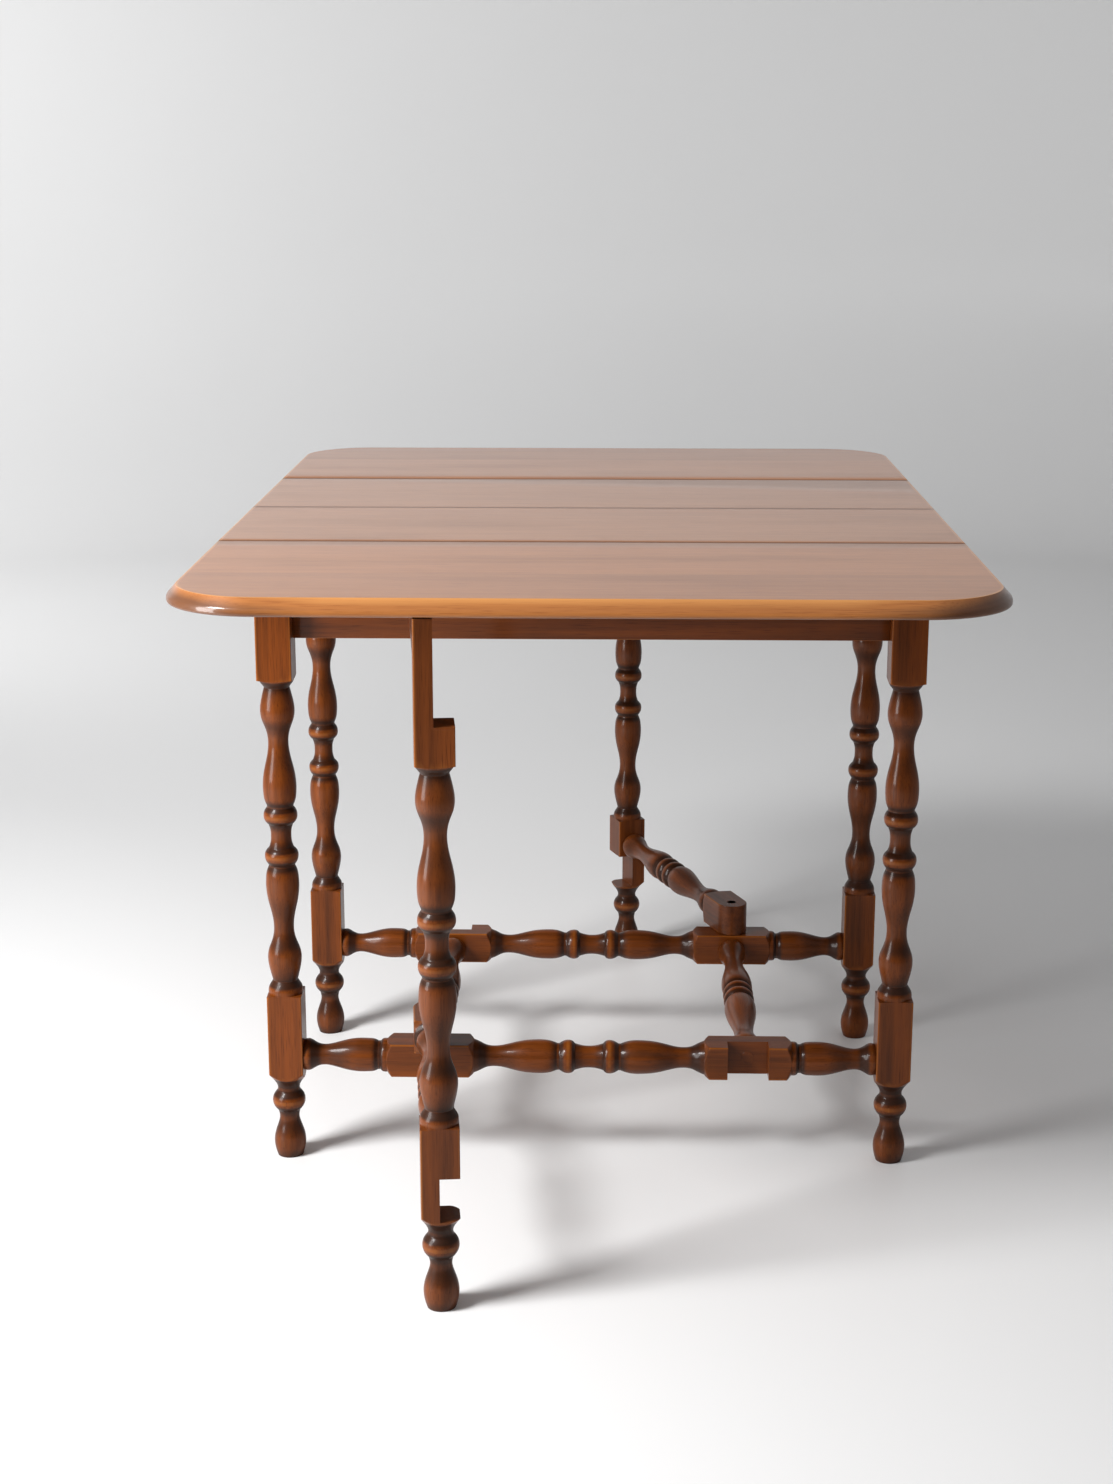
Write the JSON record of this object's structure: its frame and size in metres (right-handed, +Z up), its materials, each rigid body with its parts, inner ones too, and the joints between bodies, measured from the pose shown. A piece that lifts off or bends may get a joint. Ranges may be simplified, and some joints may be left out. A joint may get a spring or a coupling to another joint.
{
  "type": "gateleg table",
  "caption": "Drop-leaf dining table with turned legs; swinging gate legs under each leaf pivot on the stretchers and hold the leaves level.",
  "frame": {"origin": "centre of the table on the floor", "axes": "+Z up; +Y across the leaves towards the back leaf (the longest way with both leaves up); +X along the grain of the top"},
  "size_m": [0.85, 1.21, 0.762],
  "materials": {
    "top_wood": "satin-gloss varnish over stained hardwood, grain along X",
    "frame_wood": "gloss varnish over red-brown stained hardwood",
    "gate_wood": "gloss varnish over red-brown stained hardwood",
    "block_wood": "bare wood",
    "hinge_steel": "dull aged steel",
    "screw_steel": "dull aged steel"
  },
  "bodies": {
    "root": {"apron_back": "frame_wood", "apron_front": "frame_wood", "apron_left": "frame_wood", "apron_right": "frame_wood", "cross_stretcher_left": "frame_wood", "cross_stretcher_right": "frame_wood", "gate_back_hinge_fixed_plate": "hinge_steel", "gate_back_hinge_fixed_screws": "screw_steel", "gate_back_hinge_pin": "hinge_steel", "gate_back_pivot_dowel": "gate_wood", "gate_front_hinge_fixed_plate": "hinge_steel", "gate_front_hinge_fixed_screws": "screw_steel", "gate_front_hinge_pin": "hinge_steel", "gate_front_pivot_dowel": "gate_wood", "glue_block_back_left": "block_wood", "glue_block_back_right": "block_wood", "glue_block_front_left": "block_wood", "glue_block_front_right": "block_wood", "leaf_back_hinge_fixed_screws": "screw_steel", "leaf_back_hinge_left_fixed_plate": "hinge_steel", "leaf_back_hinge_left_pin": "hinge_steel", "leaf_back_hinge_right_fixed_plate": "hinge_steel", "leaf_back_hinge_right_pin": "hinge_steel", "leaf_front_hinge_fixed_screws": "screw_steel", "leaf_front_hinge_left_fixed_plate": "hinge_steel", "leaf_front_hinge_left_pin": "hinge_steel", "leaf_front_hinge_right_fixed_plate": "hinge_steel", "leaf_front_hinge_right_pin": "hinge_steel", "leg_back_left": "frame_wood", "leg_back_right": "frame_wood", "leg_front_left": "frame_wood", "leg_front_right": "frame_wood", "stretcher_back": "frame_wood", "stretcher_front": "frame_wood", "top_board_back": "top_wood", "top_board_front": "top_wood", "top_screws": "screw_steel"},
    "gate_front": {"gate_front_leg": "gate_wood", "gate_front_upper_rail": "gate_wood", "gate_front_lower_rail": "gate_wood", "gate_front_hinge_moving_plate": "hinge_steel", "gate_front_hinge_moving_screws": "screw_steel"},
    "gate_back": {"gate_back_leg": "gate_wood", "gate_back_upper_rail": "gate_wood", "gate_back_lower_rail": "gate_wood", "gate_back_hinge_moving_plate": "hinge_steel", "gate_back_hinge_moving_screws": "screw_steel"},
    "leaf_front": {"leaf_front_hinge_left_moving_plate": "hinge_steel", "leaf_front_hinge_moving_screws": "screw_steel", "leaf_front_hinge_right_moving_plate": "hinge_steel", "leaf_front_inner_board": "top_wood", "leaf_front_outer_board": "top_wood"},
    "leaf_back": {"leaf_back_hinge_left_moving_plate": "hinge_steel", "leaf_back_hinge_moving_screws": "screw_steel", "leaf_back_hinge_right_moving_plate": "hinge_steel", "leaf_back_inner_board": "top_wood", "leaf_back_outer_board": "top_wood"}
  },
  "joints": [
    {"name": "gate_front_swing", "type": "hinge", "parent": "root", "child": "gate_front", "pos_m": [-0.1902, -0.203, 0.17], "axis": [0, 0, 1], "range_deg": [-5.9, 84.1]},
    {"name": "gate_back_swing", "type": "hinge", "parent": "root", "child": "gate_back", "pos_m": [0.1902, 0.203, 0.17], "axis": [0, 0, 1], "range_deg": [-21.7, 68.3]},
    {"name": "leaf_front_lift", "type": "hinge", "parent": "root", "child": "leaf_front", "pos_m": [0, -0.25675, 0.7425], "axis": [-1, 0, 0], "range_deg": [0, 3.5]},
    {"name": "leaf_back_lift", "type": "hinge", "parent": "root", "child": "leaf_back", "pos_m": [0, 0.25675, 0.7425], "axis": [1, 0, 0], "range_deg": [0, 3.5]}
  ]
}
